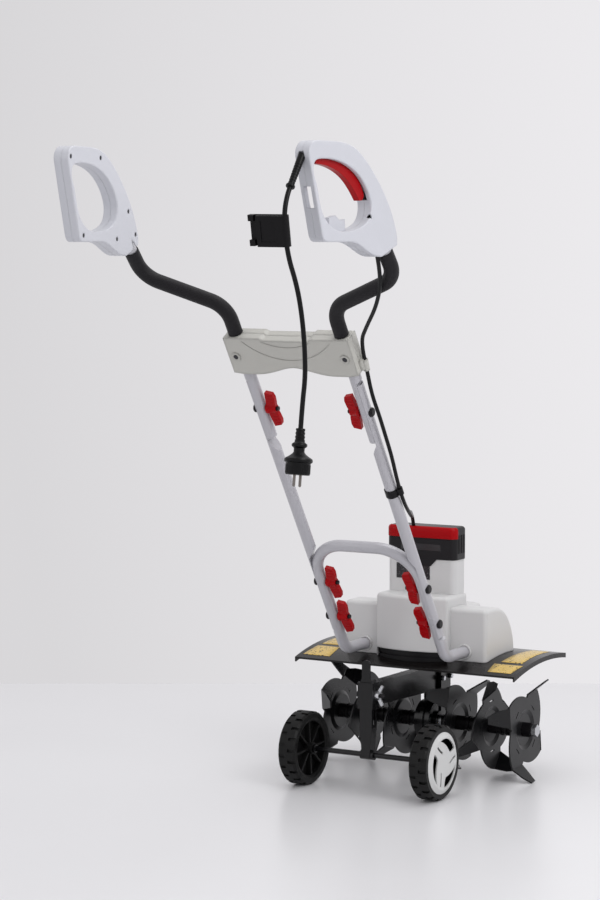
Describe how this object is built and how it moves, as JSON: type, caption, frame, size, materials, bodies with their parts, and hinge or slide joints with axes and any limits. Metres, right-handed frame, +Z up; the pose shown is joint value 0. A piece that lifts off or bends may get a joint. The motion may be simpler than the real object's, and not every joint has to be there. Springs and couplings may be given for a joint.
{
  "type": "electric garden tiller",
  "caption": "Upright corded garden tiller with bladed rotor under an arched guard, motor tower, fold-down tube handle with twin loop grips, hanging lead and transport wheels.",
  "frame": {"origin": "middle of the base of the box round the machine without its hanging lead: the ground under it", "axes": "+X is the machine's right seen by its user, +Y the way it drives, away from the user, +Z up"},
  "size_m": [0.5476, 1.0653, 1.19],
  "materials": {
    "cover_grey": "satin moulded plastic",
    "cap_black": "fine texture",
    "red_plastic": "satin moulded plastic",
    "black_plastic": "fine texture",
    "deck_paint": "gloss dark grey paint",
    "tine_paint": "gloss dark grey paint",
    "casting_paint": "gloss dark grey paint on cast metal",
    "bright_steel": "bright zinc plating",
    "dark_steel": "blackened steel",
    "winding": "wound armature",
    "bronze": "plain bush",
    "tube_silver": "silver powder coat",
    "foam": "foam sleeve",
    "grip_grey": "satin moulded plastic",
    "brace_grey": "satin moulded plastic",
    "cord_black": "cable sheath",
    "tyre_black": "moulded tread",
    "cap_white": "moulded trim"
  },
  "bodies": {
    "chassis": {"accent_band": "red_plastic", "base_plate": "black_plastic", "brush_gear": "black_plastic", "deck": "deck_paint", "gearbox_left": "casting_paint", "gearbox_right": "casting_paint", "handle_hoop": "tube_silver", "joint_bolts": "cap_black", "machine_screws": "bright_steel", "mid_tube_left": "tube_silver", "mid_tube_right": "tube_silver", "motor_cable_bend": "cord_black", "motor_cable_lower": "cord_black", "motor_cover": "cover_grey", "shaft_bushes": "bronze", "stator": "bright_steel", "tube_clip": "black_plastic", "vent_cap": "cap_black", "wheel_arm": "casting_paint"},
    "rotor": {"rotor_shaft": "bright_steel", "rotor_core": "winding", "cooling_fan": "black_plastic"},
    "tine_rotor": {"tine_shaft": "bright_steel", "worm_wheel": "bronze", "tine_hubs": "black_plastic", "tines_inner": "tine_paint", "tines_middle": "tine_paint", "tines_outer": "tine_paint"},
    "strut": {"wheel_strut": "casting_paint", "axle": "casting_paint"},
    "strut_nut": {"strut_wing_nut": "bright_steel"},
    "trigger": {"trigger": "red_plastic"},
    "lock_button": {"lock_button": "red_plastic"},
    "handle": {"upper_tube_left": "tube_silver", "upper_tube_right": "tube_silver", "grip_sleeves": "foam", "brace_rear": "brace_grey", "brace_front": "brace_grey", "grip_outer_left": "grip_grey", "grip_outer_right": "grip_grey", "grip_inner_left": "grip_grey", "grip_inner_right": "grip_grey", "grip_screws": "dark_steel", "trigger_pin": "bright_steel", "power_switch": "black_plastic", "cord_boot": "cord_black", "mains_cord": "cord_black", "cord_clip": "black_plastic", "mains_plug": "cord_black", "motor_cable_upper": "cord_black"},
    "wheel_left": {"wheel_left": "tyre_black", "hubcap_left": "cap_white"},
    "knob_left_lower": {"knob_left_lower": "red_plastic"},
    "knob_left_middle": {"knob_left_middle": "red_plastic"},
    "knob_left_upper": {"knob_left_upper": "red_plastic"},
    "wheel_right": {"wheel_right": "tyre_black", "hubcap_right": "cap_white"},
    "knob_right_lower": {"knob_right_lower": "red_plastic"},
    "knob_right_middle": {"knob_right_middle": "red_plastic"},
    "knob_right_upper": {"knob_right_upper": "red_plastic"}
  },
  "joints": [
    {"name": "handle_fold", "type": "hinge", "parent": "chassis", "child": "handle", "pos_m": [0, -0.06409, 0.73], "axis": [1, 0, 0], "range_deg": [0, 150], "deforming": ["motor_cable_bend"]},
    {"name": "tine_spin", "type": "hinge", "parent": "chassis", "child": "tine_rotor", "pos_m": [0, 0.39291, 0.096], "axis": [1, 0, 0], "continuous": true},
    {"name": "rotor_spin", "type": "hinge", "parent": "chassis", "child": "rotor", "pos_m": [0, 0.42291, 0.25], "axis": [0, 0, 1], "continuous": true},
    {"name": "strut_slide", "type": "slide", "parent": "chassis", "child": "strut", "axis": [0, 0, 1], "range_m": [-0.014, 0.05]},
    {"name": "strut_nut_turn", "type": "hinge", "parent": "chassis", "child": "strut_nut", "pos_m": [0.02, 0.14091, 0.184], "axis": [1, 0, 0], "continuous": true},
    {"name": "trigger_pull", "type": "hinge", "parent": "handle", "child": "trigger", "pos_m": [0.23722, -0.47063, 1.168], "axis": [0.9945, -0.1045, 0], "range_deg": [0, 5], "stiffness_Nm_per_rad": 6, "springref_deg": -6.88},
    {"name": "lock_press", "type": "slide", "parent": "handle", "child": "lock_button", "axis": [0.9945, -0.1045, 0], "range_m": [0, 0.004], "stiffness_N_per_m": 400, "springref_m": -0.004},
    {"name": "wheel_left_spin", "type": "hinge", "parent": "strut", "child": "wheel_left", "pos_m": [-0.139, 0.14091, 0.07], "axis": [1, 0, 0], "continuous": true},
    {"name": "knob_left_lower_turn", "type": "hinge", "parent": "chassis", "child": "knob_left_lower", "pos_m": [-0.086, 0.20016, 0.31855], "axis": [1, 0, 0], "continuous": true},
    {"name": "knob_left_middle_turn", "type": "hinge", "parent": "chassis", "child": "knob_left_middle", "pos_m": [-0.086, 0.15477, 0.38922], "axis": [1, 0, 0], "continuous": true},
    {"name": "knob_left_upper_turn", "type": "hinge", "parent": "chassis", "child": "knob_left_upper", "pos_m": [-0.086, -0.06409, 0.73], "axis": [1, 0, 0], "continuous": true},
    {"name": "wheel_right_spin", "type": "hinge", "parent": "strut", "child": "wheel_right", "pos_m": [0.139, 0.14091, 0.07], "axis": [1, 0, 0], "continuous": true},
    {"name": "knob_right_lower_turn", "type": "hinge", "parent": "chassis", "child": "knob_right_lower", "pos_m": [0.086, 0.20016, 0.31855], "axis": [1, 0, 0], "continuous": true},
    {"name": "knob_right_middle_turn", "type": "hinge", "parent": "chassis", "child": "knob_right_middle", "pos_m": [0.086, 0.15477, 0.38922], "axis": [1, 0, 0], "continuous": true},
    {"name": "knob_right_upper_turn", "type": "hinge", "parent": "chassis", "child": "knob_right_upper", "pos_m": [0.086, -0.06409, 0.73], "axis": [1, 0, 0], "continuous": true}
  ],
  "couplings": [
    {"joint": "rotor_spin", "follows": "tine_spin", "ratio": -32}
  ]
}
